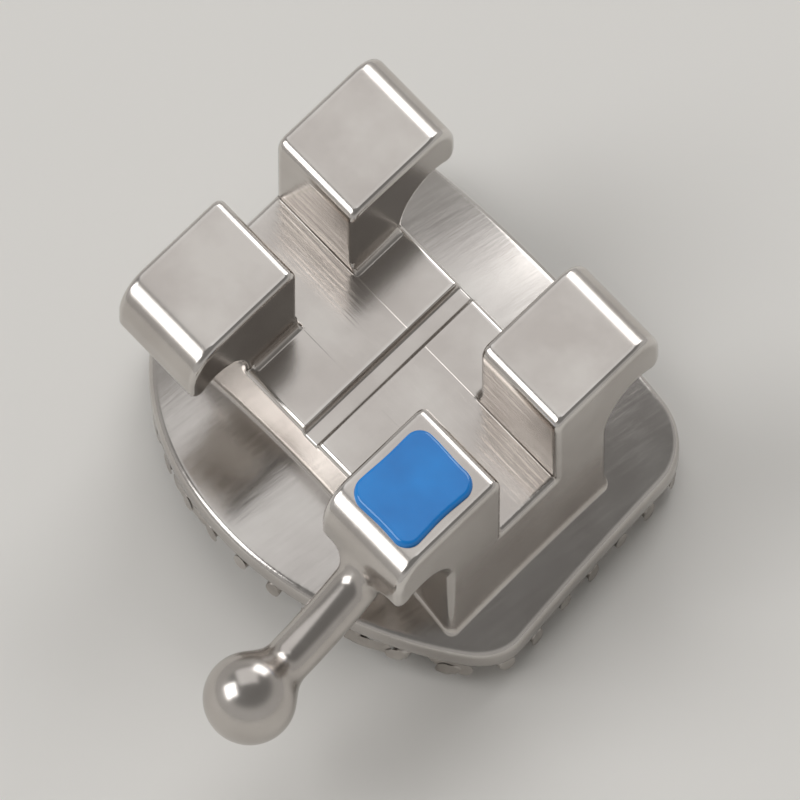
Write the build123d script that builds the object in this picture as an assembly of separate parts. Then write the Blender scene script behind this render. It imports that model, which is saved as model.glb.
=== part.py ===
from build123d import *
import os
from math import cos, radians, tan

# Twin bracket for an upper right canine, in millimetres.
# X runs along the archwire slot towards the distal side, Y towards the biting edge, Z away from the tooth.
# The origin is the centre of the bonding surface, where the bracket touches the crown.

# Archwire slot, 0.022 by 0.028 inch
slot_width = 0.559
slot_depth = 0.711
slot_lead_in = 0.10

# Lean of the tooth's long axis against the square to the slot, in degrees
tip_angle = 8.0

# Twin body: two pillars, each with a wing on both sides of the slot
twin_width = 3.06
wing_width = 0.84
wing_span = 2.72
stem_span = 1.62
floor_height = 0.45
wing_crown_round = 0.26
wing_lip_round = 0.08
tie_groove_run_out = 0.05
edge_round = 0.05
root_round = 0.08

# Scribe line on the web, along the tooth's long axis
scribe_width = 0.16
scribe_depth = 0.05

# Ball hook on the distal wing that points to the gum
hook_reach = 1.30
hook_drop = 0.72
hook_root_depth = 0.31
hook_root_drop = 0.34
hook_arm_radius = 0.17
hook_ball_radius = 0.33
hook_neck_round = 0.10
hook_root_round = 0.10

# Base, curved both ways to the crown
crown_radius_across = 4.5
crown_radius_along = 12.0
base_width = 3.80
base_biting_width = 3.50
base_biting_end = 1.58
base_gum_end = 1.56
base_shoulder = 0.60
base_corner_round = 0.50
foil_thickness = 0.15
foil_edge_round = 0.05

# Woven backing, 80 wires to the inch
mesh_thickness = 0.16
mesh_pitch = 25.4 / 80
wire_diameter = 0.12

# Paint on the hooked wing
paint_thickness = 0.04
paint_margin = 0.04
paint_length = 0.76
paint_corner_round = 0.14

foil_height = mesh_thickness + foil_thickness
floor_z = foil_height + floor_height
wing_top_z = floor_z + slot_depth
wing_offset = (twin_width - wing_width) / 2
tie_groove_radius = ((wing_span - stem_span) / 2 + tie_groove_run_out) / 2
below = -1.2
above = wing_top_z + 1
to_tooth = Rot(0, 0, tip_angle)


def crown(clearance):
    """The tooth's surface, pushed out by a clearance: a ring whose top is the patch under the base."""
    ring = crown_radius_along - crown_radius_across
    tube = crown_radius_across + clearance
    return to_tooth * Pos(0, 0, -crown_radius_along) * Rot(0, 90, 0) * Torus(ring, tube)


def slanted(x, y):
    """A point of the plan, moved along the slot as the tooth's long axis leans."""
    return (x - y * tan(radians(tip_angle)), y)


def slanted_block(middle, width, low, high):
    """An upright block across the slot whose two sides follow the tooth's long axis."""
    left = middle - width / 2
    right = middle + width / 2
    reach = 2 * wing_span
    corners = [slanted(left, reach), slanted(right, reach), slanted(right, -reach), slanted(left, -reach)]
    return Pos(0, 0, low) * extrude(make_face(Polyline(*corners, close=True)), high - low)


def near(shapes, y, z):
    """The corner of a section that is nearest to a point."""
    return shapes.vertices().sort_by_distance((0, y, z))[0]


def wing_section():
    """Section of a pillar across the slot: stem, tie grooves under the wings and the wings' crowns."""
    stem = stem_span / 2
    tip = wing_span / 2
    groove_y = stem + tie_groove_radius
    lip_z = floor_z + (tie_groove_radius**2 - (tip - groove_y) ** 2) ** 0.5
    edges = [
        Line((0, below), (stem, below)),
        Line((stem, below), (stem, floor_z)),
        ThreePointArc((stem, floor_z), (groove_y, floor_z + tie_groove_radius), (tip, lip_z)),
        Line((tip, lip_z), (tip, wing_top_z)),
        Line((tip, wing_top_z), (0, wing_top_z)),
        Line((0, wing_top_z), (0, below)),
    ]
    half = Plane.YZ * make_face(Curve() + edges)
    half = fillet(near(half, tip, wing_top_z), wing_crown_round)
    half = fillet(near(half, tip, lip_z), wing_lip_round)
    return (half + mirror(half, Plane.XZ)).clean()


def slot_section():
    """Section of the milled slot, flared at its mouth so that a wire finds its way in."""
    wall = slot_width / 2
    mouth = wall + slot_lead_in
    edges = [
        Line((-wall, floor_z), (wall, floor_z)),
        Line((wall, floor_z), (wall, wing_top_z - slot_lead_in)),
        RadiusArc((wall, wing_top_z - slot_lead_in), (mouth, wing_top_z), slot_lead_in),
        Line((mouth, wing_top_z), (mouth, above)),
        Line((mouth, above), (-mouth, above)),
        Line((-mouth, above), (-mouth, wing_top_z)),
        RadiusArc((-mouth, wing_top_z), (-wall, wing_top_z - slot_lead_in), slot_lead_in),
        Line((-wall, wing_top_z - slot_lead_in), (-wall, floor_z)),
    ]
    return Plane.YZ * make_face(Curve() + edges)


def make_pillar(side):
    """One upright with its pair of wings, all its long edges rounded."""
    block = slanted_block(side * wing_offset, wing_width, below, above)
    pillar = extrude(wing_section(), 2 * twin_width, both=True) & block
    lean = cos(radians(tip_angle))
    sides = [f for f in pillar.faces().filter_by(GeomType.PLANE) if abs(abs(f.normal_at().X) - lean) < 1e-3]
    long_edges = [e for f in sides for e in f.edges() if e.center().Z > below + 1e-3]
    return fillet(long_edges, edge_round)


def root_cove(side):
    """The hollow round where the web runs up into the inner face of a pillar."""
    foot = (twin_width / 2 - wing_width) * cos(radians(tip_angle))
    inside = foot + edge_round
    start = foot - root_round
    low = floor_z - edge_round
    high = floor_z + root_round
    edges = [
        Line((inside, low), (start, low)),
        Line((start, low), (start, floor_z)),
        RadiusArc((start, floor_z), (foot, high), -root_round),
        Line((foot, high), (inside, high)),
        Line((inside, high), (inside, low)),
    ]
    cove = extrude(Plane.XZ * make_face(Curve() + edges), wing_span, both=True)
    cove = cove if side > 0 else mirror(cove, Plane.YZ)
    return to_tooth * cove & Box(4 * twin_width, stem_span - 2 * edge_round, 4 * above)


def make_hook():
    """Round arm that curves off the wing, from its root inside the tip, and ends in a ball."""
    tip = wing_span / 2
    ball = (-tip - hook_reach, wing_top_z - hook_drop)
    root = (-tip + hook_root_depth, wing_top_z - hook_root_drop)
    wing_line = wing_offset * cos(radians(tip_angle))
    path = Plane.YZ.offset(wing_line) * TangentArc(ball, root, tangent=(1, 0))
    arm = sweep(Plane(origin=path @ 0, z_dir=path % 0) * Circle(hook_arm_radius), path)
    hook = arm + Pos(path @ 0) * Sphere(hook_ball_radius)
    neck = hook.edges().filter_by(lambda edge: edge.is_closed).sort_by_distance(path @ 0)[0]
    return to_tooth * fillet(neck, hook_neck_round)


def make_body():
    """The casting: web and two pillars, with the slot milled through and the hook on one wing."""
    inner_gap = twin_width - 2 * wing_width
    web = slanted_block(0, inner_gap + 4 * edge_round, below, floor_z)
    web &= Box(4 * twin_width, stem_span, 4 * above)
    casting = web + make_pillar(-1) + make_pillar(1)
    casting += root_cove(-1) + root_cove(1)
    hook = make_hook()
    joined = casting + hook
    casting = fillet(new_edges(casting, hook, combined=joined).filter_by(GeomType.BSPLINE), hook_root_round)
    casting -= extrude(slot_section(), 2 * twin_width, both=True)
    scribe = Pos(0, 0, floor_z) * Box(scribe_width, 2 * wing_span, 2 * scribe_depth)
    casting -= to_tooth * scribe
    return casting - crown(foil_height)


def base_outline():
    """Plan of the base: square to the biting edge, round towards the gum."""
    biting = [slanted(side * base_biting_width / 2, base_biting_end) for side in (-1, 1)]
    gum = [slanted(side * base_width / 2, -base_shoulder) for side in (-1, 1)]
    edges = [
        Line(biting[0], biting[1]),
        Line(biting[1], gum[1]),
        ThreePointArc(gum[1], slanted(0, -base_gum_end), gum[0]),
        Line(gum[0], biting[0]),
    ]
    plan = make_face(Curve() + edges)
    return fillet(plan.vertices(), base_corner_round)


def base_layer(low, high):
    """A curved sheet between two clearances from the tooth."""
    block = Pos(0, 0, below) * extrude(base_outline(), above - below)
    return (block & crown(high)) - crown(low)


def make_foil():
    foil = base_layer(mesh_thickness, foil_height)
    upper = foil.faces().filter_by(GeomType.TORUS).sort_by(Axis.Z)[-1]
    return fillet(upper.edges(), foil_edge_round)


def make_mesh():
    """The stamped weave: crossing wires, open between them, that end at the cut edge of the base."""
    across = int((base_biting_width - 2 * wire_diameter) / mesh_pitch) + 1
    along = int((base_biting_end + base_gum_end - 2 * wire_diameter) / mesh_pitch) + 1
    reach = 2 * base_width
    upright = GridLocations(mesh_pitch, mesh_pitch, across, 1) * Box(wire_diameter, reach, reach)
    level = GridLocations(mesh_pitch, mesh_pitch, 1, along) * Box(reach, wire_diameter, reach)
    weave = Part() + upright + level
    return base_layer(0, mesh_thickness) & (to_tooth * weave)


def make_paint(casting):
    """A dab on the hooked wing, from beside the slot to where the wing's crown turns down."""
    start = -slot_width / 2 - slot_lead_in - paint_margin
    end = start - paint_length
    left = wing_offset - wing_width / 2 + edge_round + paint_margin
    right = wing_offset + wing_width / 2 - edge_round - paint_margin
    corners = [slanted(left, start), slanted(right, start), slanted(right, end), slanted(left, end)]
    plan = fillet(make_face(Polyline(*corners, close=True)).vertices(), paint_corner_round)
    dab = Pos(0, 0, wing_top_z - wing_crown_round) * extrude(plan, above)
    film = extrude(offset(wing_section(), paint_thickness), 2 * twin_width, both=True)
    return (dab & film) - casting


bracket_body = make_body()
base_pad = make_foil()
mesh_backing = make_mesh()
colour_mark = make_paint(bracket_body)

os.makedirs("parts", exist_ok=True)
export_step(bracket_body, "parts/bracket_body.step")
export_step(base_pad, "parts/base_pad.step")
export_step(mesh_backing, "parts/mesh_backing.step")
export_step(colour_mark, "parts/colour_mark.step")
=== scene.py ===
import math
import bpy
import numpy as np
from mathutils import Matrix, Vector


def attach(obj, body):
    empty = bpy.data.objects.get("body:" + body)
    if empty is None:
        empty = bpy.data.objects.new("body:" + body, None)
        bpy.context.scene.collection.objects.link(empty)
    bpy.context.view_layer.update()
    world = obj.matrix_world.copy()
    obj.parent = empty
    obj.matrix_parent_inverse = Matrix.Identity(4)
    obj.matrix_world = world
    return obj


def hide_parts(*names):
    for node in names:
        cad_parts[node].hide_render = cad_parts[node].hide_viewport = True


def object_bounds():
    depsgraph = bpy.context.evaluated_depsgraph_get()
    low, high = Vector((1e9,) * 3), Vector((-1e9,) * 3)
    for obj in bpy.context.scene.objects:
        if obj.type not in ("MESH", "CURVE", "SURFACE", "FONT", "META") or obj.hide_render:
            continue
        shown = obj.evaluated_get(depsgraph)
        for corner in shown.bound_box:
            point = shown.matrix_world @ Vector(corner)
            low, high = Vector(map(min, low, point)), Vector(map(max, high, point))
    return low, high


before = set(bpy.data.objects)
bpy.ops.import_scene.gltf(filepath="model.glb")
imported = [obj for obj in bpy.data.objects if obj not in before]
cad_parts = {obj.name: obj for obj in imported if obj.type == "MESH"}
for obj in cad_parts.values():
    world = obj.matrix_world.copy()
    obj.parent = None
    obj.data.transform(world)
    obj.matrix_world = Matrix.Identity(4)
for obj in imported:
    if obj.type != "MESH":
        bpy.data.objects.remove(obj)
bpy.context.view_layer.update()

mm = 0.001
scene = bpy.context.scene

# The tooth's long axis leans against the slot: x and y follow the slot, u and v the tooth
lean = math.radians(8.0)
cosLean = math.cos(lean)
sinLean = math.sin(lean)
crownAcross = 4.5   # radius of the crown under the base, across the tooth, mm
crownAlong = 12.0   # and along it
steepest = 0.95     # limit of the cosine between two faces, so that a round between them stays finite


# Shapes are distances in mm, below zero inside
def roundCut(a, b, r, turn=0.0):   # turn is the cosine between the two faces' normals
    a1, b1 = a + r, b + r
    corner = np.sqrt(np.maximum(a1 ** 2 + b1 ** 2 - 2 * turn * a1 * b1, 0) / (1 - turn ** 2)) - r
    return np.where((a1 > turn * b1) & (b1 > turn * a1), corner, np.maximum(a, b))


def roundJoin(a, b, r):
    return -roundCut(-a, -b, r)


def softJoin(a, b, width):   # runs out more gently than a round
    near = np.maximum(width - np.abs(a - b), 0) / width
    return np.minimum(a, b) - near ** 2 * width / 4


def toTooth(x, y):
    return x * cosLean + y * sinLean, y * cosLean - x * sinLean


def crownSkin(x, y, z, lift):
    u, v = toTooth(x, y)
    return np.hypot(np.hypot(v, z + crownAlong) - (crownAlong - crownAcross), u) - (crownAcross + lift)


def slopes(shape, p, step):
    g = np.empty_like(p)
    for k in range(3):
        d = np.zeros(3)
        d[k] = step
        g[:, k] = (shape(*(p + d).T) - shape(*(p - d).T)) / (2 * step)
    return g


# How a grid's points are laid on the surface: steps in mm, and the least slope that is trusted
grid = {"passes": 4, "slopeStep": 0.002, "normalStep": 0.005, "leastSlope": 0.3}


# Meshes a shape on a grid whose sides follow the slot and the leaning pillar walls, then lays every point
# on the true surface and gives it the surface's own normal, so that bright metal shows no facets
def meshShape(name, shape, low, high, cell):
    low, high = np.array(low), np.array(high)
    count = np.ceil((high - low) / cell).astype(int) + 1
    u, y, z = np.meshgrid(*[low[k] + cell * np.arange(count[k]) for k in range(3)], indexing="ij")
    d = shape((u - y * sinLean) / cosLean, y, z)
    inside = d < 0
    corners = [(i, j, k) for i in (0, 1) for j in (0, 1) for k in (0, 1)]

    def at(a, c):
        return a[c[0]:a.shape[0] - 1 + c[0], c[1]:a.shape[1] - 1 + c[1], c[2]:a.shape[2] - 1 + c[2]]

    filled = sum(at(inside, c).astype(int) for c in corners)
    used = (filled > 0) & (filled < 8)
    hits = np.zeros(used.sum())
    middle = np.zeros((used.sum(), 3))
    for a in corners:
        for b in corners:
            if sum(b) - sum(a) == 1 and all(q >= p for p, q in zip(a, b)):
                da, db = at(d, a)[used], at(d, b)[used]
                cut = (da < 0) != (db < 0)
                t = np.where(cut, da / np.where(cut, da - db, 1), 0)
                middle += cut[:, None] * (np.array(a) + t[:, None] * (np.array(b) - np.array(a)))
                hits += cut
    p = low + cell * (np.argwhere(used) + middle / hits[:, None])
    p[:, 0] = (p[:, 0] - p[:, 1] * sinLean) / cosLean
    number = -np.ones(used.shape, int)
    number[used] = np.arange(len(p))
    quads = []
    for k in range(3):
        near, far = [slice(1, -1)] * 3, [slice(1, -1)] * 3
        near[k], far[k] = slice(0, -1), slice(1, None)
        a, b = inside[tuple(near)], inside[tuple(far)]
        spot = np.argwhere(a != b) + np.array([0 if m == k else 1 for m in range(3)])
        ring = []
        for de, df in ((-1, -1), (0, -1), (0, 0), (-1, 0)):
            q = spot.copy()
            q[:, (k + 1) % 3] += de
            q[:, (k + 2) % 3] += df
            ring.append(number[tuple(q.T)])
        ring = np.array(ring).T
        leaves = a[a != b]
        ring[~leaves] = ring[~leaves][:, ::-1]
        quads.append(ring)
    quads = np.concatenate(quads)
    for turn in range(grid["passes"]):
        g = slopes(shape, p, grid["slopeStep"])
        steep = np.maximum((g * g).sum(1), grid["leastSlope"])
        p -= np.clip(shape(*p.T), -cell, cell)[:, None] * g / steep[:, None]
    normals = slopes(shape, p, grid["normalStep"])
    normals /= np.linalg.norm(normals, axis=1)[:, None]
    mesh = bpy.data.meshes.new(name)
    mesh.from_pydata((p * mm).tolist(), [], quads.tolist())
    mesh.polygons.foreach_set("use_smooth", [True] * len(quads))
    mesh.normals_split_custom_set_from_vertices(normals.tolist())
    piece = bpy.data.objects.new(name, mesh)
    scene.collection.objects.link(piece)
    print("meshed", name, 2 * len(quads), "triangles")
    return piece


# One node with its settings and links; an input is a value or another node's output
def addNode(tree, kind, inputs=None, **settings):
    node = tree.nodes.new(kind)
    for key, value in settings.items():
        setattr(node, key, value)
    for key, value in (inputs or {}).items():
        if isinstance(value, bpy.types.NodeSocket):
            tree.links.new(value, node.inputs[key])
        else:
            node.inputs[key].default_value = value
    return node


def hexColour(code):
    parts = [int(code[k:k + 2], 16) / 255 for k in (1, 3, 5)]
    return tuple(c / 12.92 if c <= 0.04045 else ((c + 0.055) / 1.055) ** 2.4 for c in parts) + (1.0,)


def newMaterial(name):
    material = bpy.data.materials.new(name)
    material.use_nodes = True
    tree = material.node_tree
    tree.nodes.clear()
    where = addNode(tree, "ShaderNodeTexCoord")
    inMm = addNode(tree, "ShaderNodeMapping", {"Vector": where.outputs["Object"], "Scale": (1 / mm,) * 3})
    return material, tree, inMm.outputs["Vector"]


def closeMaterial(tree, inputs):
    surface = addNode(tree, "ShaderNodeBsdfPrincipled", inputs)
    addNode(tree, "ShaderNodeOutputMaterial", {"Surface": surface.outputs["BSDF"]})


# Slow clouds between a dull and a bright tone, as every handled metal has
def cloudTone(tree, spot, look, detail):
    cloud = addNode(tree, "ShaderNodeTexNoise", {"Vector": spot, "Scale": look["cloudsPerMm"], "Detail": detail})
    tone = addNode(tree, "ShaderNodeMapRange", {"Value": cloud.outputs["Fac"], "From Min": 0.35, "From Max": 0.65})
    colour = addNode(tree, "ShaderNodeMix", {0: tone.outputs[0], 6: hexColour(look["dull"]),
                                             7: hexColour(look["bright"])}, data_type="RGBA")
    return tone.outputs[0], colour.outputs[2]


# Stainless steel, injection moulded, sintered and tumbled: a soft satin, brighter where edges are rubbed,
# with fine cutter lines along the milled slot
castLook = {
    "bright": "#CBC6C1",
    "dull": "#BDB7B2",
    "worn": "#DBD7D3",
    "cloudsPerMm": 1.7,
    "grain": 0.045,                 # mm, the real grain is finer and would not show
    "grainDepth": 0.0002,           # mm
    "milledHalf": (0.280, 0.284),   # mm, the cutter's lines end here
    "milledFrom": 0.73,             # mm, and start above this height
    "cutterLine": 0.03,             # mm from line to line
    "cutterDepth": 0.002,           # mm
    "cutterStretch": 0.04,
    "satin": 0.23,
    "polish": 0.08,                 # how much glossier a rubbed edge is
    "cloudGloss": -0.02,
}


def castSteel():
    look = castLook
    material, tree, spot = newMaterial("tumbledCastStainless")
    grain = addNode(tree, "ShaderNodeTexNoise", {"Vector": spot, "Scale": 1 / look["grain"], "Detail": 3.0})
    tone, skinColour = cloudTone(tree, spot, look, 4.0)
    # rubbed edges, a little more in some places than in others
    edges = addNode(tree, "ShaderNodeAttribute", attribute_name="rubbed")
    uneven = addNode(tree, "ShaderNodeMapRange", {"Value": tone, "To Min": 0.5, "To Max": 1.0})
    rubbed = addNode(tree, "ShaderNodeMath", {0: edges.outputs["Fac"], 1: uneven.outputs[0]}, operation="MULTIPLY")
    colour = addNode(tree, "ShaderNodeMix", {0: rubbed.outputs[0], 6: skinColour, 7: hexColour(look["worn"])},
                     data_type="RGBA")
    gloss = addNode(tree, "ShaderNodeMapRange", {"Value": rubbed.outputs[0], "To Min": look["satin"],
                                                 "To Max": look["satin"] - look["polish"]})
    sheen = addNode(tree, "ShaderNodeMath", {0: tone, 1: look["cloudGloss"], 2: gloss.outputs[0]},
                    operation="MULTIPLY_ADD")
    # the slot is the only milled place: its lines run along x
    parts = addNode(tree, "ShaderNodeSeparateXYZ", {0: spot})
    across = addNode(tree, "ShaderNodeMath", {0: parts.outputs["Y"]}, operation="ABSOLUTE")
    between = addNode(tree, "ShaderNodeMapRange", {"Value": across.outputs[0], "From Min": look["milledHalf"][0],
                                                   "From Max": look["milledHalf"][1], "To Min": 1.0, "To Max": 0.0})
    above = addNode(tree, "ShaderNodeMath", {0: parts.outputs["Z"], 1: look["milledFrom"]}, operation="GREATER_THAN")
    milled = addNode(tree, "ShaderNodeMath", {0: between.outputs[0], 1: above.outputs[0]}, operation="MULTIPLY")
    drawn = addNode(tree, "ShaderNodeMapping", {"Vector": spot, "Scale": (look["cutterStretch"], 1.0, 1.0)})
    lines = addNode(tree, "ShaderNodeTexNoise", {"Vector": drawn.outputs["Vector"],
                                                 "Scale": 1 / look["cutterLine"], "Detail": 2.0})
    cutter = addNode(tree, "ShaderNodeMath", {0: lines.outputs["Fac"], 1: milled.outputs[0]}, operation="MULTIPLY")
    skin = addNode(tree, "ShaderNodeBump", {"Height": grain.outputs["Fac"], "Strength": 1.0,
                                            "Distance": look["grainDepth"] * mm})
    groove = addNode(tree, "ShaderNodeBump", {"Height": cutter.outputs[0], "Strength": 1.0,
                                              "Distance": look["cutterDepth"] * mm,
                                              "Normal": skin.outputs["Normal"]})
    closeMaterial(tree, {"Base Color": colour.outputs[2], "Metallic": 1.0, "Roughness": sheen.outputs[0],
                         "Normal": groove.outputs["Normal"]})
    return material


# Cold-rolled stainless foil, stamped: smoother than the casting, with faint rolling lines along the tooth
foilLook = {
    "bright": "#CCC8C4",
    "dull": "#BEB9B5",
    "cloudsPerMm": 1.3,
    "rollLine": 0.035,      # mm from line to line
    "rollDepth": 0.0008,    # mm
    "rollStretch": 0.05,
    "gloss": (0.17, 0.26),
}


def foilSteel():
    look = foilLook
    material, tree, spot = newMaterial("rolledStainlessFoil")
    turned = addNode(tree, "ShaderNodeMapping", {"Vector": spot, "Rotation": (0, 0, -lean),
                                                 "Scale": (1.0, look["rollStretch"], 1.0)})
    lines = addNode(tree, "ShaderNodeTexNoise", {"Vector": turned.outputs["Vector"], "Scale": 1 / look["rollLine"],
                                                 "Detail": 3.0})
    colour = cloudTone(tree, spot, look, 4.0)[1]
    gloss = addNode(tree, "ShaderNodeMapRange", {"Value": lines.outputs["Fac"], "From Min": 0.3, "From Max": 0.7,
                                                 "To Min": look["gloss"][0], "To Max": look["gloss"][1]})
    relief = addNode(tree, "ShaderNodeBump", {"Height": lines.outputs["Fac"], "Strength": 1.0,
                                              "Distance": look["rollDepth"] * mm})
    closeMaterial(tree, {"Base Color": colour, "Metallic": 1.0, "Roughness": gloss.outputs[0],
                         "Normal": relief.outputs["Normal"]})
    return material


# Drawn stainless wire, woven and brazed: bright with a slightly matt bloom from the furnace
wireLook = {
    "bright": "#CFCAC5",
    "dull": "#A9A39D",
    "cloudsPerMm": 2.4,
    "bloom": 0.06,          # mm
    "bloomDepth": 0.0012,   # mm
    "satin": (0.26, 0.42),
}


def wireSteel():
    look = wireLook
    material, tree, spot = newMaterial("drawnStainlessWire")
    bloom = addNode(tree, "ShaderNodeTexNoise", {"Vector": spot, "Scale": 1 / look["bloom"], "Detail": 3.0})
    colour = cloudTone(tree, spot, look, 3.0)[1]
    gloss = addNode(tree, "ShaderNodeMapRange", {"Value": bloom.outputs["Fac"], "To Min": look["satin"][0],
                                                 "To Max": look["satin"][1]})
    relief = addNode(tree, "ShaderNodeBump", {"Height": bloom.outputs["Fac"], "Strength": 1.0,
                                              "Distance": look["bloomDepth"] * mm})
    closeMaterial(tree, {"Base Color": colour, "Metallic": 1.0, "Roughness": gloss.outputs[0],
                         "Normal": relief.outputs["Normal"]})
    return material


# Enamel paint, dabbed on by hand and baked: a deep gloss with slow waves where it flowed
enamelLook = {
    "blue": "#0E8FE8",
    "deep": "#0C80D6",
    "wave": 0.35,         # mm
    "waveDepth": 0.006,   # mm
    "gloss": 0.16,
    "ior": 1.52,
    "coat": 0.3,
    "coatGloss": 0.06,
}


def enamelPaint():
    look = enamelLook
    material, tree, spot = newMaterial("bakedBlueEnamel")
    wave = addNode(tree, "ShaderNodeTexNoise", {"Vector": spot, "Scale": 1 / look["wave"], "Detail": 2.0})
    tone = addNode(tree, "ShaderNodeMapRange", {"Value": wave.outputs["Fac"], "From Min": 0.3, "From Max": 0.7})
    colour = addNode(tree, "ShaderNodeMix", {0: tone.outputs[0], 6: hexColour(look["deep"]),
                                             7: hexColour(look["blue"])}, data_type="RGBA")
    relief = addNode(tree, "ShaderNodeBump", {"Height": wave.outputs["Fac"], "Strength": 1.0,
                                              "Distance": look["waveDepth"] * mm})
    closeMaterial(tree, {"Base Color": colour.outputs[2], "Roughness": look["gloss"], "IOR": look["ior"],
                         "Coat Weight": look["coat"], "Coat Roughness": look["coatGloss"],
                         "Normal": relief.outputs["Normal"]})
    return material


# The casting: two pillars with their wings, the web between them and the hook, mm
cast = {
    "slotHalf": 0.2795, "mouthRound": 0.10, "floor": 0.76, "top": 1.471,
    "wingTip": 1.36, "stem": 0.81, "wingRound": 0.26, "lipRound": 0.08, "tieGroove": 0.30,
    "pillarAt": 1.11, "pillarHalf": 0.42, "edgeRound": 0.05, "rootRound": 0.08,
    "coveSink": 0.003, "coveEnd": 0.02,
    "scribeHalf": 0.08, "scribeDepth": 0.05, "scribeFloor": 0.03, "scribeLip": 0.015,
    "hookRoot": (-1.05, 1.131), "hookBall": (-2.66, 0.751), "arm": 0.17, "armEnd": 0.08, "ball": 0.328,
    "neckSoft": 0.11, "rootSoft": ((-1.60, 0.19), (-1.30, 0.13)),   # the root's softness along the hook
    "brazeRound": 0.08, "brazeSink": 0.02, "brazeReach": 0.1, "footSink": 0.07,   # the foot goes into the foil
    "rubbed": (6.0, 20.0), "rubbedStep": 0.02,   # edges of this sharpness, 1/mm, are rubbed first and fully
    "cell": 0.025, "low": (-1.6837, -2.9459, -0.2071), "high": (1.685, 1.46, 1.53),   # the grid, off the flat faces
}
foilTop = 0.31   # mm above the crown


def slotRoom(y, z):
    return np.maximum(np.abs(y) - cast["slotHalf"], cast["floor"] - z)


def wingSection(y, z):
    s = cast
    a = np.abs(y)
    out, up = a - (s["wingTip"] - s["wingRound"]), z - (s["top"] - s["wingRound"])
    crown = np.minimum(np.maximum(out, up), 0) + np.hypot(np.maximum(out, 0), np.maximum(up, 0)) - s["wingRound"]
    beside = a - s["stem"] - s["tieGroove"]
    far = np.maximum(np.hypot(beside, z - s["floor"]), 1e-6)
    under = np.where(z < s["floor"], a - s["stem"], s["tieGroove"] - far)
    lip = np.where(z < s["floor"], 0.0, np.clip(-beside / far, -steepest, steepest))
    return roundCut(roundCut(crown, under, s["lipRound"], lip), -slotRoom(y, z), s["mouthRound"])


def pillar(x, y, z, side):
    u = toTooth(x, y)[0]
    wall = np.abs(u - side * cast["pillarAt"] * cosLean) - cast["pillarHalf"] * cosLean
    return roundCut(wingSection(y, z), wall, cast["edgeRound"])


def web(x, y, z):
    s = cast
    u = np.abs(toTooth(x, y)[0])
    foot = (s["pillarAt"] - s["pillarHalf"]) * cosLean
    slab = roundCut(z - s["floor"], np.abs(y) - s["stem"], s["edgeRound"])
    slab = np.maximum(slab, u - foot - 2 * s["edgeRound"])
    line = roundCut(u - s["scribeHalf"], s["floor"] - s["scribeDepth"] - z, s["scribeFloor"])
    slab = roundCut(slab, -line, s["scribeLip"])
    cove = roundJoin(z - s["floor"] + s["coveSink"], foot - u, s["rootRound"])
    ends = np.maximum(np.abs(y) - s["stem"] + s["edgeRound"], s["slotHalf"] - np.abs(y))
    tops = np.maximum(z - s["floor"] - s["rootRound"], np.abs(u - foot) - s["rootRound"])
    return np.minimum(slab, np.maximum(roundCut(cove, ends, s["coveEnd"]), tops))


def hook(x, y, z):
    s = cast
    u, v = toTooth(x, y)
    u = u - s["pillarAt"] * cosLean
    (rootV, rootZ), (ballV, ballZ) = s["hookRoot"], s["hookBall"]
    run, rise = rootV - ballV, rootZ - ballZ
    bend = (run ** 2 + rise ** 2) / (2 * rise)
    arm = np.hypot(np.hypot(v - ballV, z - ballZ - bend) - bend, u) - s["arm"]
    arm = np.maximum(roundCut(arm, v - rootV, s["armEnd"]), ballV - v)
    ball = np.sqrt(u ** 2 + (v - ballV) ** 2 + (z - ballZ) ** 2) - s["ball"]
    return softJoin(arm, ball, s["neckSoft"])


def castShape(x, y, z):
    s = cast
    metal = np.minimum(pillar(x, y, z, -1), pillar(x, y, z, 1))
    along, soft = zip(*s["rootSoft"])
    metal = softJoin(np.minimum(metal, web(x, y, z)), hook(x, y, z), np.interp(toTooth(x, y)[1], along, soft))
    brazed = roundJoin(metal, crownSkin(x, y, z, foilTop - s["brazeSink"]), s["brazeRound"])
    brazed = np.maximum(brazed, metal - s["brazeReach"])   # only round the foot
    return np.maximum(brazed, -crownSkin(x, y, z, foilTop - s["footSink"]))


# Tumbling rubs the outer edges bright: how sharply the surface turns is kept for the material
def markEdges(piece, shape):
    points = np.empty(3 * len(piece.data.vertices))
    piece.data.vertices.foreach_get("co", points)
    p = points.reshape(-1, 3) / mm
    step = cast["rubbedStep"]
    sharp = -6 * shape(*p.T)
    for d in step * np.eye(3):
        sharp += shape(*(p + d).T) + shape(*(p - d).T)
    low, high = cast["rubbed"]
    rubbed = np.clip((sharp / step ** 2 - low) / (high - low), 0, 1)
    piece.data.attributes.new("rubbed", "FLOAT", "POINT").data.foreach_set("value", rubbed)
    print("rubbed edges", round(float(rubbed.mean()), 3))


castBody = meshShape("castBody", castShape, cast["low"], cast["high"], cast["cell"])
markEdges(castBody, castShape)
castBody.data.materials.append(castSteel())

# The foil pad, mm: square to the biting edge, round towards the gum
pad = {
    "width": 3.80, "bitingWidth": 3.50, "bitingEnd": 1.58, "gumEnd": 1.56, "shoulder": 0.60, "corner": 0.50,
    "under": 0.16, "edgeRound": 0.05, "burr": 0.02, "drawnIn": 0.006,
    "around": 480, "underRings": 20, "burrSteps": 4, "roundSteps": 8, "topRings": 40,
    "search": (3.0, 40),   # how far out an edge is looked for, and in how many halvings
}


def slanted(x, y):
    return np.array((x - y * math.tan(lean), y))


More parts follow.
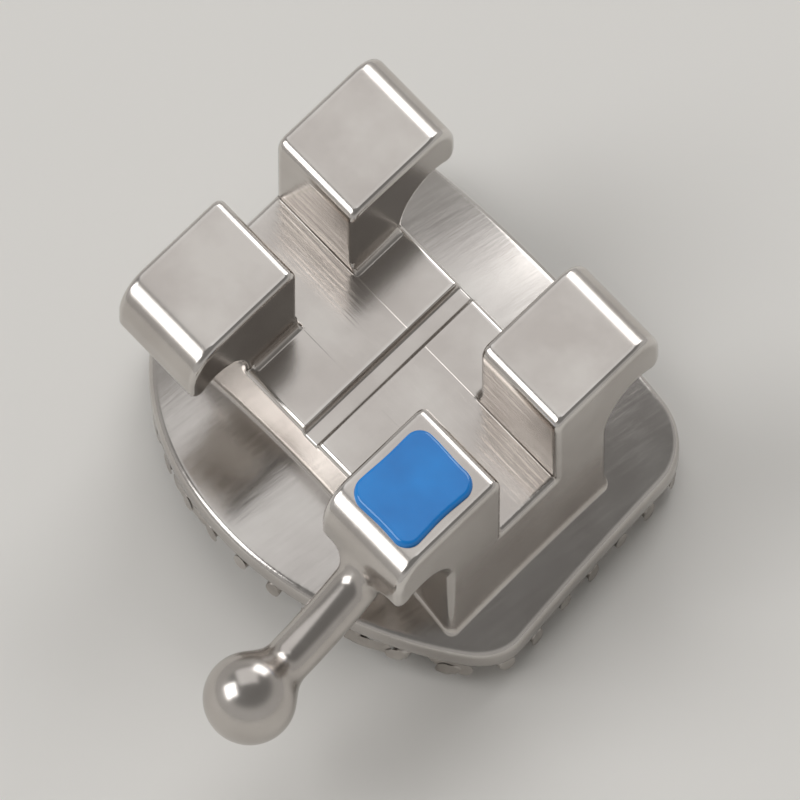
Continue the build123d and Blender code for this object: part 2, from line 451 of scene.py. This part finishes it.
def padOutline(x, y):
    biting, gum = [], []
    for side in (-1, 1):
        biting.append(slanted(side * pad["bitingWidth"] / 2, pad["bitingEnd"]))
        gum.append(slanted(side * pad["width"] / 2, -pad["shoulder"]))
    a, b, c = gum[0], slanted(0, -pad["gumEnd"]), gum[1]
    middle = np.linalg.solve(2 * np.array((b - a, c - a)), (b @ b - a @ a, c @ c - a @ a))
    out = np.hypot(x - middle[0], y - middle[1])
    arc = out - np.linalg.norm(a - middle)
    halves = []
    for side in (0, 1):
        along = (gum[side] - biting[side]) / np.linalg.norm(gum[side] - biting[side])
        normal = np.array((-along[1], along[0])) * (2 * side - 1)
        wall = (x - biting[side][0]) * normal[0] + (y - biting[side][1]) * normal[1]
        turn = ((x - middle[0]) * normal[0] + (y - middle[1]) * normal[1]) / np.maximum(out, 1e-6)
        upper = roundCut(wall, y - pad["bitingEnd"], pad["corner"], normal[1])
        lower = roundCut(wall, arc, pad["corner"], np.clip(turn, -steepest, steepest))
        halves.append(np.maximum(upper, lower))
    return np.maximum(*halves)


def onCrown(x, y, lift):
    u, v = toTooth(x, y)
    ring = crownAlong - crownAcross + np.sqrt((crownAcross + lift) ** 2 - u ** 2)
    return np.sqrt(ring ** 2 - v ** 2) - crownAlong


# The outline moved in by an inset, found along rays from the middle
def outlineRing(inset):
    angle = np.linspace(0, 2 * math.pi, pad["around"], endpoint=False)
    farthest, halvings = pad["search"]
    low, high = np.zeros_like(angle), np.full_like(angle, farthest)
    for turn in range(halvings):
        tried = (low + high) / 2
        outside = padOutline(tried * np.cos(angle), tried * np.sin(angle)) > -inset - pad["drawnIn"]
        low, high = np.where(outside, low, tried), np.where(outside, tried, high)
    return low * np.cos(angle), low * np.sin(angle)


def stampFoil():
    rings = []

    def addRing(inset, lift, shrink=1.0):
        x, y = outlineRing(inset)
        x, y = x * shrink, y * shrink
        rings.append(np.stack((x, y, onCrown(x, y, lift)), 1))

    for shrink in np.linspace(0.02, 0.98, pad["underRings"]):
        addRing(pad["burr"], pad["under"], shrink)
    for k in range(pad["burrSteps"] + 1):
        turn = k / pad["burrSteps"] * math.pi / 2
        addRing(pad["burr"] * (1 - math.sin(turn)), pad["under"] + pad["burr"] * (1 - math.cos(turn)))
    for k in range(pad["roundSteps"] + 1):
        turn = k / pad["roundSteps"] * math.pi / 2
        addRing(pad["edgeRound"] * (1 - math.cos(turn)), foilTop - pad["edgeRound"] * (1 - math.sin(turn)))
    for shrink in np.linspace(0.99, 0.02, pad["topRings"]):
        addRing(pad["edgeRound"], foilTop, shrink)
    count = pad["around"]
    quads = []
    for k in range(len(rings) - 1):
        for i in range(count):
            j = (i + 1) % count
            quads.append((k * count + i, k * count + j, (k + 1) * count + j, (k + 1) * count + i))
    quads.append(tuple(reversed(range(count))))
    quads.append(tuple(range((len(rings) - 1) * count, len(rings) * count)))
    mesh = bpy.data.meshes.new("foilPad")
    mesh.from_pydata((np.concatenate(rings) * mm).tolist(), [], quads)
    mesh.polygons.foreach_set("use_smooth", [True] * len(quads))
    piece = bpy.data.objects.new("foilPad", mesh)
    scene.collection.objects.link(piece)
    print("stamped foil", len(quads), "faces")
    return piece


foilPad = stampFoil()
foilPad.data.materials.append(foilSteel())

# The woven backing, mm: 80 wires to the inch both ways, pressed and brazed together
weave = {
    "pitch": 25.4 / 80, "wire": 0.12, "swing": 0.02, "middle": 0.08, "upright": 11, "level": 10,
    "overrun": 0.08, "inset": (0.012, 0.017),   # where the cut ends lie, so that crossing wires share no face
    "reach": 2.6, "searchStep": 0.002, "slopeStep": 0.004, "trimPasses": 3,
    "stepsPerPitch": 8, "sides": 12, "crease": 50.0,   # degrees, keeps the cut ends crisp
}


def wireLines():
    points, edges, crossing, side, inset = [], [], [], [], []
    steps = np.arange(-weave["reach"], weave["reach"], weave["searchStep"])
    sets = ((True, weave["upright"], weave["level"]), (False, weave["level"], weave["upright"]))
    for upright, count, others in sets:
        first = -(others - 1) / 2 * weave["pitch"]
        for k in range(count):
            fixed = (k - (count - 1) / 2) * weave["pitch"]
            u, v = (np.full_like(steps, fixed), steps) if upright else (steps, np.full_like(steps, fixed))
            x, y = u * cosLean - v * sinLean, u * sinLean + v * cosLean
            held = steps[padOutline(x, y) < weave["overrun"]]
            for end in (held[0], held[-1]):
                points.append((fixed, end, 0) if upright else (end, fixed, 0))
                crossing.append((end - first) / weave["pitch"])
                side.append((1 if upright else -1) * (-1) ** k)
                inset.append(weave["inset"][0 if upright else 1])
            edges.append((len(points) - 2, len(points) - 1))
    mesh = bpy.data.meshes.new("wireLines")
    mesh.from_pydata([[c * mm for c in p] for p in points], edges, [])
    for name, values in (("crossing", crossing), ("side", side), ("inset", inset)):
        mesh.attributes.new(name, "FLOAT", "POINT").data.foreach_set("value", [float(q) for q in values])
    return mesh


def weaveTree(material):
    tree = bpy.data.node_groups.new("wovenBacking", "GeometryNodeTree")
    face = tree.interface
    face.new_socket("Geometry", in_out="INPUT", socket_type="NodeSocketGeometry")
    for name in ("Wire Radius", "Swing", "Middle Height", "Crown Across", "Crown Along", "Lean", "Step"):
        face.new_socket(name, in_out="INPUT", socket_type="NodeSocketFloat")
    face.new_socket("Geometry", in_out="OUTPUT", socket_type="NodeSocketGeometry")
    given = addNode(tree, "NodeGroupInput").outputs
    lines = addNode(tree, "GeometryNodeMeshToCurve", {"Mesh": given["Geometry"]})
    fine = addNode(tree, "GeometryNodeResampleCurve", {"Curve": lines.outputs["Curve"], "Length": given["Step"]},
                   mode="LENGTH")
    # over one wire, under the next
    crossing = addNode(tree, "GeometryNodeInputNamedAttribute", {"Name": "crossing"}, data_type="FLOAT")
    side = addNode(tree, "GeometryNodeInputNamedAttribute", {"Name": "side"}, data_type="FLOAT")
    phase = addNode(tree, "ShaderNodeMath", {0: crossing.outputs[0], 1: math.pi}, operation="MULTIPLY")
    wave = addNode(tree, "ShaderNodeMath", {0: phase.outputs[0]}, operation="COSINE")
    over = addNode(tree, "ShaderNodeMath", {0: wave.outputs[0], 1: side.outputs[0]}, operation="MULTIPLY")
    lift = addNode(tree, "ShaderNodeMath", {0: over.outputs[0], 1: given["Swing"], 2: given["Middle Height"]},
                   operation="MULTIPLY_ADD")
    # laid on the crown, which is curved both ways
    place = addNode(tree, "GeometryNodeInputPosition")
    flat = addNode(tree, "ShaderNodeSeparateXYZ", {0: place.outputs[0]}).outputs
    tube = addNode(tree, "ShaderNodeMath", {0: given["Crown Across"], 1: lift.outputs[0]}, operation="ADD")
    tubeSquare = addNode(tree, "ShaderNodeMath", {0: tube.outputs[0], 1: tube.outputs[0]}, operation="MULTIPLY")
    uSquare = addNode(tree, "ShaderNodeMath", {0: flat["X"], 1: flat["X"]}, operation="MULTIPLY")
    vSquare = addNode(tree, "ShaderNodeMath", {0: flat["Y"], 1: flat["Y"]}, operation="MULTIPLY")
    left = addNode(tree, "ShaderNodeMath", {0: tubeSquare.outputs[0], 1: uSquare.outputs[0]}, operation="SUBTRACT")
    across = addNode(tree, "ShaderNodeMath", {0: left.outputs[0]}, operation="SQRT")
    ring = addNode(tree, "ShaderNodeMath", {0: given["Crown Along"], 1: given["Crown Across"]}, operation="SUBTRACT")
    reach = addNode(tree, "ShaderNodeMath", {0: ring.outputs[0], 1: across.outputs[0]}, operation="ADD")
    reachSquare = addNode(tree, "ShaderNodeMath", {0: reach.outputs[0], 1: reach.outputs[0]}, operation="MULTIPLY")
    rest = addNode(tree, "ShaderNodeMath", {0: reachSquare.outputs[0], 1: vSquare.outputs[0]}, operation="SUBTRACT")
    along = addNode(tree, "ShaderNodeMath", {0: rest.outputs[0]}, operation="SQRT")
    height = addNode(tree, "ShaderNodeMath", {0: along.outputs[0], 1: given["Crown Along"]}, operation="SUBTRACT")
    laid = addNode(tree, "ShaderNodeCombineXYZ", {"X": flat["X"], "Y": flat["Y"], "Z": height.outputs[0]})
    leaned = addNode(tree, "ShaderNodeVectorRotate", {"Vector": laid.outputs[0], "Angle": given["Lean"]},
                     rotation_type="Z_AXIS")
    draped = addNode(tree, "GeometryNodeSetPosition", {"Geometry": fine.outputs["Curve"],
                                                       "Position": leaned.outputs[0]})
    wire = addNode(tree, "GeometryNodeCurvePrimitiveCircle", {"Resolution": weave["sides"],
                                                              "Radius": given["Wire Radius"]})
    wires = addNode(tree, "GeometryNodeCurveToMesh", {"Curve": draped.outputs[0], "Profile Curve": wire.outputs[0],
                                                      "Fill Caps": True})
    smooth = addNode(tree, "GeometryNodeSetShadeSmooth", {0: wires.outputs[0]})
    real = addNode(tree, "GeometryNodeRealizeInstances", {0: smooth.outputs[0]})
    painted = addNode(tree, "GeometryNodeSetMaterial", {0: real.outputs[0], "Material": material})
    addNode(tree, "NodeGroupOutput", {0: painted.outputs[0]})
    return tree


# The backing is stamped with the foil, so wire that runs over is pressed back to the cut edge
def trimWires(mesh):
    points = np.empty(3 * len(mesh.vertices))
    mesh.vertices.foreach_get("co", points)
    points = points.reshape(-1, 3) / mm
    inset = np.empty(len(mesh.vertices))
    mesh.attributes["inset"].data.foreach_get("value", inset)
    x, y = points[:, 0], points[:, 1]
    step = weave["slopeStep"]
    for turn in range(weave["trimPasses"]):
        over = np.maximum(padOutline(x, y) + inset, 0)
        slopeX = (padOutline(x + step, y) - padOutline(x - step, y)) / (2 * step)
        slopeY = (padOutline(x, y + step) - padOutline(x, y - step)) / (2 * step)
        x, y = x - over * slopeX, y - over * slopeY
    points[:, 2] += onCrown(x, y, weave["middle"]) - onCrown(points[:, 0], points[:, 1], weave["middle"])
    points[:, 0], points[:, 1] = x, y
    mesh.vertices.foreach_set("co", (points * mm).ravel())
    mesh.update()


def weaveBacking():
    source = bpy.data.objects.new("wireSource", wireLines())
    scene.collection.objects.link(source)
    nodes = source.modifiers.new("weave", "NODES")
    material = wireSteel()
    nodes.node_group = weaveTree(material)
    values = {"Wire Radius": weave["wire"] / 2 * mm, "Swing": weave["swing"] * mm,
              "Middle Height": weave["middle"] * mm, "Crown Across": crownAcross * mm,
              "Crown Along": crownAlong * mm, "Lean": lean, "Step": weave["pitch"] / weave["stepsPerPitch"] * mm}
    for item in nodes.node_group.interface.items_tree:
        if item.in_out == "INPUT" and item.name in values:
            nodes[item.identifier] = values[item.name]
    bpy.context.view_layer.update()
    ready = source.evaluated_get(bpy.context.evaluated_depsgraph_get())
    mesh = bpy.data.meshes.new_from_object(ready)
    mesh.name = "wovenBacking"
    trimWires(mesh)
    mesh.set_sharp_from_angle(angle=math.radians(weave["crease"]))
    piece = bpy.data.objects.new("wovenBacking", mesh)
    scene.collection.objects.link(piece)
    source.modifiers.remove(nodes)
    bpy.data.objects.remove(source)
    print("woven", len(mesh.polygons), "faces")
    return piece


wovenBacking = weaveBacking()

# The colour mark, mm: a dab on the hooked wing, from beside the slot to where the wing's crown turns down
mark = {
    "thick": 0.040, "sink": 0.02, "half": 0.33, "start": -0.42, "length": 0.76, "corner": 0.14, "soft": 0.036,
    "wander": 0.004, "ripples": (11, 13, 7), "cell": 0.012, "low": (0.60, -1.30, 1.38), "high": (1.60, -0.34, 1.56),
}


def markShape(x, y, z):
    u = toTooth(x, y)[0] - cast["pillarAt"] * cosLean
    skin = pillar(x, y, z, 1)
    # a hand-laid edge is never quite straight
    side, cross, slant = mark["ripples"]
    wander = mark["wander"] * (np.sin(side * y + 1.0) + np.sin(cross * u + slant * y) - 2)
    end = np.abs(y - mark["start"] + mark["length"] / 2) - mark["length"] / 2
    edge = roundCut(np.abs(u) - mark["half"] * cosLean, end, mark["corner"]) - wander
    film = roundCut(skin - mark["thick"], edge, mark["soft"])
    return np.maximum(film, -skin - mark["sink"])


enamelMark = meshShape("enamelMark", markShape, mark["low"], mark["high"], mark["cell"])
enamelMark.data.materials.append(enamelPaint())

for piece, node, slot in ((castBody, "bracket_body", "cast_steel"), (foilPad, "base_pad", "foil_steel"),
                          (wovenBacking, "mesh_backing", "mesh_steel"), (enamelMark, "colour_mark", "blue_enamel")):
    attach(piece, "root")
    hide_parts(node)
print("pieces placed")

# Pale floor under the edges of the base, a light wall, a darker ceiling and the camera, mm and degrees
studio = {
    "floor": "#F1EFEB", "floorHalf": 400.0,
    "dome": "#F4F2EF", "wall": 0.54, "ceiling": 0.24, "fade": (0.42, 0.72),
    "azimuth": 50.0, "elevation": 59.0, "distance": 160.0, "frameWidth": 5.6, "sensor": 36.0, "clip": (5.0, 5000.0),
}
visualBox = [list(corner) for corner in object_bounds()]
floorZ = visualBox[0][2]


def paleFloor():
    material, tree, spot = newMaterial("mattPaleBoard")
    cloud = addNode(tree, "ShaderNodeTexNoise", {"Vector": spot, "Scale": 0.2, "Detail": 2.0})
    gloss = addNode(tree, "ShaderNodeMapRange", {"Value": cloud.outputs["Fac"], "To Min": 0.55, "To Max": 0.65})
    closeMaterial(tree, {"Base Color": hexColour(studio["floor"]), "Roughness": gloss.outputs[0]})
    return material


half = studio["floorHalf"] * mm
floorCorners = [(x * half, y * half, floorZ) for x, y in ((-1, -1), (1, -1), (1, 1), (-1, 1))]
floorMesh = bpy.data.meshes.new("floor")
floorMesh.from_pydata(floorCorners, [], [(0, 1, 2, 3)])
floor = bpy.data.objects.new("floor", floorMesh)
floor.data.materials.append(paleFloor())
scene.collection.objects.link(floor)


def aim(thing, place, target):
    thing.location = place
    thing.rotation_euler = (target - place).to_track_quat("-Z", "Y").to_euler()


def fromAngles(azimuth, elevation, far):
    a, e = math.radians(azimuth), math.radians(elevation)
    return Vector((math.sin(a) * math.cos(e), -math.cos(a) * math.cos(e), math.sin(e))) * far


target = (Vector(visualBox[0]) + Vector(visualBox[1])) / 2


# Moves the target until the object stands in the middle of the camera's view
def centred(target):
    look = fromAngles(studio["azimuth"], studio["elevation"], 1.0)
    right = Vector((0, 0, 1)).cross(look).normalized()
    up = look.cross(right)
    points = [v.co for piece in (castBody, foilPad) for v in piece.data.vertices]
    for side in (right, up):
        reach = [side.dot(p) for p in points]
        target = target + side * ((min(reach) + max(reach)) / 2 - side.dot(target))
    return target


# Soft boxes, each at an angle and a distance from the object, with its size in mm and its brightness
softBoxes = {
    "key": {"azimuth": 203.0, "elevation": 36.0, "far": 300.0, "size": (140.0, 120.0), "bright": 3.0},
    "front": {"azimuth": -34.0, "elevation": 43.0, "far": 300.0, "size": (170.0, 150.0), "bright": 3.4},
    "overhead": {"azimuth": 240.0, "elevation": 62.0, "far": 300.0, "size": (250.0, 250.0), "bright": 0.70},
}
for name, box in softBoxes.items():
    lamp = bpy.data.lights.new(name, "AREA")
    lamp.shape = "RECTANGLE"
    lamp.size, lamp.size_y = box["size"][0] * mm, box["size"][1] * mm
    lamp.energy = box["bright"] * math.pi * lamp.size * lamp.size_y
    holder = bpy.data.objects.new(name, lamp)
    scene.collection.objects.link(holder)
    aim(holder, target + fromAngles(box["azimuth"], box["elevation"], box["far"] * mm), target)

world = bpy.data.worlds.new("studio")
world.use_nodes = True
scene.world = world
room = world.node_tree
room.nodes.clear()
sky = addNode(room, "ShaderNodeTexCoord")
up = addNode(room, "ShaderNodeSeparateXYZ", {0: sky.outputs["Generated"]})
fade = addNode(room, "ShaderNodeMapRange", {"Value": up.outputs["Z"], "From Min": studio["fade"][0],
                                            "From Max": studio["fade"][1], "To Min": studio["wall"],
                                            "To Max": studio["ceiling"]}, interpolation_type="SMOOTHSTEP")
dome = addNode(room, "ShaderNodeBackground", {"Color": hexColour(studio["dome"]), "Strength": fade.outputs[0]})
addNode(room, "ShaderNodeOutputWorld", {"Surface": dome.outputs[0]})

lens = bpy.data.cameras.new("camera")
lens.sensor_width = studio["sensor"]
lens.lens = studio["sensor"] * studio["distance"] / studio["frameWidth"]
lens.clip_start, lens.clip_end = studio["clip"][0] * mm, studio["clip"][1] * mm
camera = bpy.data.objects.new("camera", lens)
scene.collection.objects.link(camera)
middle = centred(target)
aim(camera, middle + fromAngles(studio["azimuth"], studio["elevation"], studio["distance"] * mm), middle)
scene.camera = camera
scene.view_settings.view_transform = "Standard"
print("studio ready")
